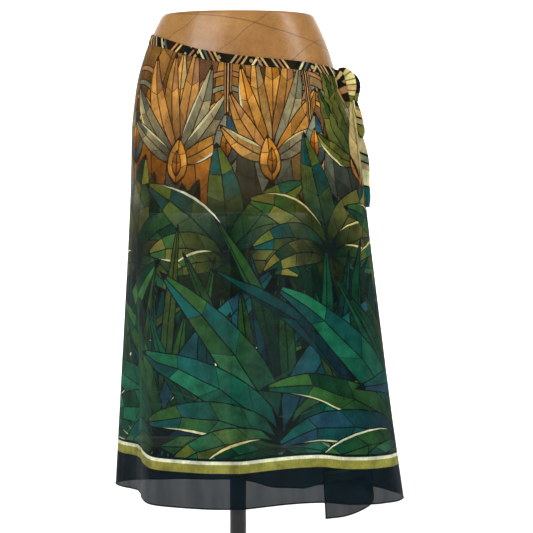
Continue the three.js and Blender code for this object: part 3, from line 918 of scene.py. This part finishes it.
def make_cloth(material):
    """The wound printed cloth, one thin sheet in an inner and an outer length that meet point to point."""
    flat, triangles, colours = skirt_design().mesh()
    u, v = np.clip(flat[:, 0], U_FROM, U_TO), np.clip(flat[:, 1], 0, v_top(flat[:, 0]))
    points, normals = cloth_point(u, v), cloth_normal(u, v)
    outer = u[triangles].mean(1) > U_SPLIT
    lengths = (
        ("skirt_inner", ~outer, ("cloth_under_lap", "cloth_back"), U_SPLIT - U_FROM),
        ("skirt_outer", outer, ("cloth_side", "cloth_front", "cloth_over_lap"), U_TO - U_SPLIT),
    )
    pieces = []
    for name, part, nodes, length in lengths:
        used, corners = np.unique(triangles[part], return_inverse=True)
        corners = corners.reshape(-1, 3)
        piece = new_object(name, points[used], corners, material)
        piece.data.normals_split_custom_set_from_vertices(normals[used])
        set_print(piece, colours[part], stretch_at(*flat[triangles[part].ravel()].T))
        places = (flat[triangles[part].ravel()] - flat[used].min(0)) / np.ptp(flat, axis=0)
        piece.data.uv_layers.new(name="flat").uv.foreach_set("vector", places.astype(np.float32).ravel())
        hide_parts(*nodes)
        pieces.append((piece, length))
    return pieces


def edge_roll(name, u, v, ink, material):
    """A narrow rolled hem along an edge of the flat cloth."""
    u, v = np.asarray(u, float), np.asarray(v, float)
    at = cloth_point(u, v)
    out = cloth_point(u, v, 1.0) - at
    out /= np.linalg.norm(out, axis=1, keepdims=True)
    along = np.gradient(at, axis=0)
    along /= np.linalg.norm(along, axis=1, keepdims=True)
    across = np.cross(out, along)
    wide, thick = across * EDGE_WIDTH / 2, out * EDGE_THICK / 2
    turns = np.linspace(0, 2 * math.pi, 8, endpoint=False)
    rings = np.stack([at + wide * math.cos(turn) + thick * math.sin(turn) for turn in turns], 1)
    piece = swept(name, list(rings), material, np.broadcast_to(np.array(INK[ink]), (len(at), 3)))
    return piece


BAND_SPANS = (("waist_under_lap", "band_under_lap", -41, 20), ("waist_back", "band_back", 20, 160),
              ("waist_front", "band_front", 160, 348.6))


def band_design(length):
    """Slanting bars, lozenges and dots in gold, cream and dark brown."""
    outline = np.array([(0, 0), (length, 0), (length, BAND_HEIGHT), (0, BAND_HEIGHT)], float)
    design = Print(outline, even("brown"), 4.0)
    inks = ("bronze", "tan", "brown", "sand", "bronze", "tan", "night", "cream", "slate")
    for k, x in enumerate(np.arange(-12.0, length + 12, 8.0)):
        lean = 10 if (k // 6) % 2 else -10
        bar = [(x, -1), (x + 3.6, -1), (x + 3.6 + lean, BAND_HEIGHT + 1), (x + lean, BAND_HEIGHT + 1)]
        design.lay(bar, even(inks[k % len(inks)]))
        if k % 6 == 3:
            centre = (x + 9, BAND_HEIGHT / 2)
            lozenge = [(x + 1, centre[1]), (x + 9, -1), (x + 17, centre[1]), (x + 9, BAND_HEIGHT + 1)]
            design.lay(lozenge, even("night"))
            design.lay(disc(centre, 3.0, 12), even(inks[(k + 3) % len(inks)]))
    return design


def doubled_strip(name, design, place, thick, node, material):
    """A thin strip of doubled cloth with a print on both faces. place gives a flat point's worn one."""
    flat, triangles, colours = design.mesh()
    rim = rim_loop(triangles)
    count = len(flat)
    faces = [tuple(t) for t in triangles]
    faces += [tuple(count + i for i in t[::-1]) for t in triangles]
    faces += [(a, a + count, b + count, b) for a, b in rim]
    points = np.concatenate([place(flat, thick), place(flat, 0.0)])
    piece = new_object(name, points, faces, material)
    dark = np.broadcast_to(INK["brown"], (4 * len(rim), 3))
    set_print(piece, np.concatenate([colours.reshape(-1, 3), colours[:, ::-1].reshape(-1, 3), dark]))
    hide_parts(node)
    return piece


def make_band(name, node, start, end, material):
    """One stretch of the waistband."""
    degs = np.linspace(start, end, 200)
    along = run_of(band_point(degs, np.full_like(degs, 0.5)))
    length = float(along[-1])

    def place(flat, lift):
        rise = np.clip(flat[:, 1] / BAND_HEIGHT, 0, 1)
        swell = 0.4 * np.sin(math.pi * rise) ** 0.5 if lift else 0
        return band_point(np.interp(flat[:, 0], along, degs), rise, 0.1 + lift + swell)

    piece = doubled_strip(name, band_design(length), place, BAND_THICK - 0.2, node, material)


def rim_loop(triangles):
    """Edges that only one triangle has, as ordered pairs."""
    seen = {}
    for a, b, c in triangles:
        for edge in ((a, b), (b, c), (c, a)):
            seen[edge] = True
    return [(a, b) for a, b in seen if (b, a) not in seen]


# The knot's strips: the way each faces, its centre line with width and thickness, and its inks.
KNOT_STRIPS = {
    "knot_heart": (
        (0.5, -0.9),
        [(160, -24, 906, 12, 12), (167, -20, 901, 22, 17), (172, -15, 893, 26, 20), (175, -10, 884, 24, 18),
         (176, -6, 875, 16, 12)],
        ("brown", "moss", "brown", "olive"),
    ),
    "knot_gather": (
        (0.1, -1.0),
        [(149, -34, 916, 13, 4), (154, -34, 914, 15, 7), (160, -32, 909, 17, 9), (165, -30, 903, 15, 9),
         (169, -27, 898, 9, 7)],
        ("brown", "tan", "night", "bronze", "brown"),
    ),
    "knot_tuck": (
        (-0.1, -1.0),
        [(156, -33, 905, 8, 5), (160, -34, 896, 13, 7), (165, -33, 885, 14, 8), (168, -32, 874, 12, 6),
         (170, -31, 862, 8, 4)],
        ("night", "bronze", "brown", "olive"),
    ),
    "knot_flap": (
        (0.15, -1.0),
        [(156, -31, 921, 6, 4), (162, -32, 921, 9, 6), (169, -33, 917, 13, 8), (174, -34, 908, 16, 9),
         (176, -33, 896, 16, 9), (175.5, -32, 885, 13, 7), (173, -30, 873, 8, 4)],
        ("brown", "pale", "pale", "pale", "tan", "pale", "olive"),
    ),
    "knot_turn": (
        (0.8, -0.6),
        [(174, -18, 915, 10, 8), (180, -17, 910, 14, 10), (184, -15, 901, 16, 11), (185, -13, 890, 14, 9),
         (184.5, -11, 880, 10, 6), (184.5, -10, 874, 9, 4)],
        ("night", "night", "olive"),
    ),
}


def rounded_ring(centre, along, faces, width, thick, wrinkle, sides=22):
    """A flattened ring across a line, with small folds round it."""
    side = np.cross((*faces, 0.0), along)
    side /= np.linalg.norm(side)
    through = np.cross(along, side)
    angles = np.linspace(0, 2 * math.pi, sides, endpoint=False)
    share = np.cos(angles)
    folds = 0.22 * np.cos(9 * share + 3 * wrinkle) * np.sqrt(1 - share**2)
    rise = thick / 2 * (np.sin(angles) + folds)
    return centre + side * (width / 2 * share)[:, None] + through * rise[:, None]


def spline(rows, count):
    """Points of a smooth line through rows of numbers."""
    rows = np.array(rows, float)
    at = run_of(rows[:, :3])
    where = np.linspace(0, at[-1], count)
    return np.stack([track(at, rows[:, c])(where) for c in range(rows.shape[1])], 1)


def ink_run(names, count):
    """Blocks of ink that follow each other along a strip, with a dark line between them."""
    t = np.linspace(0, len(names) - 0.01, count)
    inks = np.array([INK[name] for name in names])[t.astype(int)]
    inks[np.abs(t - np.round(t)) < 0.09] = INK["night"]
    return inks


def make_knot(material):
    """The flattened knot: short folded strips wound over each other."""
    for name, (faces, rows, inks) in KNOT_STRIPS.items():
        line = spline(rows, 40)
        along = np.gradient(line[:, :3], axis=0)
        along /= np.linalg.norm(along, axis=1, keepdims=True)
        rings = [
            rounded_ring(row[:3], run, faces, row[3], row[4], 1.1 * math.sin(k / 7))
            for k, (row, run) in enumerate(zip(line, along))
        ]
        piece = swept(name, rings, material, ink_run(inks, len(line)))
        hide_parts("tie_knot")


# The tie ends: centre line, width, thickness and turn of the width from +Y, and the inks down them.
TIE_ENDS = {
    "tie_end_short": [
        (183, -11, 878, 9, 2.4, -20), (186, -10, 866, 15, 2.2, -30), (190, -9, 853, 21, 1.6, -38),
        (193, -8, 839, 24, 1.4, -40), (195, -7, 827, 22, 1.4, -38), (195, -7, 817, 12, 1.4, -32),
    ],
    "tie_end_long": [
        (182, 2, 878, 9, 2.4, -10), (185, 6, 860, 15, 2.0, -20), (189, 9, 838, 23, 1.5, -30),
        (194, 11, 808, 27, 1.4, -36), (199, 12, 776, 28, 1.4, -38), (203, 12, 747, 27, 1.4, -36),
        (206, 12, 725, 25, 1.4, -32), (206, 12, 709, 13, 1.4, -30),
    ],
}
# Slanting bars of ink down each tie end: from, to and ink.
TIE_BARS = {
    "tie_end_short": [
        (0, 8, "night"), (8, 15, "olive"), (15, 26, "tan"), (26, 29, "night"),
        (29, 38, "sand"), (38, 40, "night"), (40, 57, "olive"), (57, 80, "deep"),
    ],
    "tie_end_long": [
        (0, 12, "night"), (12, 54, "olive"), (54, 80, "sand"), (80, 84, "night"), (84, 94, "ash"),
        (94, 97, "night"), (97, 108, "sand"), (108, 134, "cream"), (134, 137, "night"), (137, 200, "teal"),
    ],
}
TIE_LEAN = 9


def make_tie_end(name, material):
    """A hanging end of the tie: a narrow strip that curls along its edges."""
    line = spline(TIE_ENDS[name], 40)
    along = run_of(line[:, :3])
    half = line[:, 3] / 2
    outline = np.concatenate([np.stack([along, -half], 1), np.stack([along, half], 1)[::-1]])
    design = Print(outline, even("tan"), 3.0)
    for low, high, ink in TIE_BARS[name]:
        wide = half.max() + 2
        bar = [(low, -wide), (high, -wide), (high + TIE_LEAN, wide), (low + TIE_LEAN, wide)]
        design.lay(bar, even(ink))

    def place(flat, lift):
        x, y, z, width, thick, turn = (np.interp(flat[:, 0], along, line[:, c]) for c in range(6))
        angle = np.radians(turn)
        across = np.stack([-np.sin(angle), np.cos(angle), 0 * z], 1)
        through = np.stack([np.cos(angle), np.sin(angle), 0 * z], 1)
        share = flat[:, 1] / (width / 2)
        wave = 2.2 * np.sin(2.4 * share + flat[:, 0] / 17) - 2.5 * share**2
        wave *= np.clip(flat[:, 0] / 20, 0, 1)
        centre = np.stack([x, y, z], 1)
        return centre + across * flat[:, 1:] + through * (wave + (1 if lift else -1) * thick / 2)[:, None]

    piece = doubled_strip(f"{name}_cloth", design, place, 1.0, name, material)
    area = float(np.sum((line[1:, 3] + line[:-1, 3]) / 2 * steps_of(line[:, :3])))


def make_stage():
    """A pale floor that curves up into a pale backdrop."""
    profile = [(-12.0, 0.0), (6.0, 0.0)]
    turns = np.linspace(0.1, math.pi / 2, 14)
    profile += [(6.0 + 3.0 * math.sin(turn), 3.0 - 3.0 * math.cos(turn)) for turn in turns]
    profile.append((9.0, 12.0))
    mesh = bpy.data.meshes.new("backdrop")
    points = [(x, y, z) for y, z in profile for x in (-16, 16)]
    faces = [(2 * i, 2 * i + 1, 2 * i + 3, 2 * i + 2) for i in range(len(profile) - 1)]
    mesh.from_pydata(points, [], faces)
    mesh.shade_smooth()
    material, tree, new, _ = nodes_of("backdrop_paper")
    shader = preset(new("ShaderNodeBsdfPrincipled"), Base_Color=(0.9, 0.9, 0.9, 1), Roughness=0.9)
    shown(tree, preset(shader, Emission_Color=(1, 1, 1, 1), Emission_Strength=0.35))
    mesh.materials.append(material)
    backdrop = bpy.data.objects.new("backdrop", mesh)
    bpy.context.scene.collection.objects.link(backdrop)


def make_camera():
    data = bpy.data.cameras.new("camera")
    data.lens = CAMERA_LENS
    data.sensor_width = 36
    camera = bpy.data.objects.new("camera", data)
    camera.location = CAMERA_AT
    camera.rotation_euler = (math.radians(90 - CAMERA_PITCH), 0, 0)
    bpy.context.scene.collection.objects.link(camera)
    bpy.context.scene.camera = camera


def area_light(name, at, aim, size, power):
    data = bpy.data.lights.new(name, "AREA")
    data.shape = "RECTANGLE"
    data.size, data.size_y = size
    data.energy = power
    light = bpy.data.objects.new(name, data)
    light.location = at
    run = np.array(aim, float) - np.array(at, float)
    pitch = math.atan2(math.hypot(run[0], run[1]), -run[2])
    light.rotation_euler = (pitch, 0, math.atan2(-run[0], run[1]))
    bpy.context.scene.collection.objects.link(light)


def make_lights():
    world = bpy.data.worlds.new("studio")
    world.use_nodes = True
    preset(world.node_tree.nodes["Background"], Color=(1, 1, 1, 1), Strength=0.42)
    bpy.context.scene.world = world
    area_light("key", (-1.5, -2.8, 2.3), (0, 0, 0.7), (1.6, 1.6), 46)
    area_light("streak", (2.1, -1.34, 2.9), (0, 0, 0.95), (0.35, 2.4), 34)
    area_light("wash", (0, 4.5, 5.0), (0, 8.6, 1.2), (8.0, 3.0), 420)
    bpy.context.scene.view_settings.view_transform = "Standard"


make_camera()
make_stage()
make_lights()
stand_metal = metal_material()
for node in ("form_flange", "stand_pole", "base_socket", "base_disc"):
    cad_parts[node].data.materials.clear()
    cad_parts[node].data.materials.append(stand_metal)
make_form()
sheer = cloth_material("printed_mesh")
doubled = cloth_material("doubled_mesh", solid=True)
(inner, inner_length), (outer, outer_length) = make_cloth(sheer)
hem_us = np.linspace(U_FROM, U_TO, 420)
lap_vs, under_vs = (np.linspace(0, v_top(u), 180) for u in (U_TO, U_FROM))
hem_roll = edge_roll("hem_roll", hem_us, 0 * hem_us + EDGE_WIDTH / 2, "navy", doubled)
lap_roll = edge_roll("lap_roll", 0 * lap_vs + U_TO - 1, lap_vs, "rust", doubled)
under_roll = edge_roll("under_roll", 0 * under_vs + U_FROM + 1, under_vs, "navy", doubled)
make_knot(doubled)
for name, node, start, end in BAND_SPANS:
    make_band(name, node, start, end, doubled)
for name in TIE_ENDS:
    make_tie_end(name, doubled)
CUT_HEIGHT = float(np.mean(LENGTH_V))
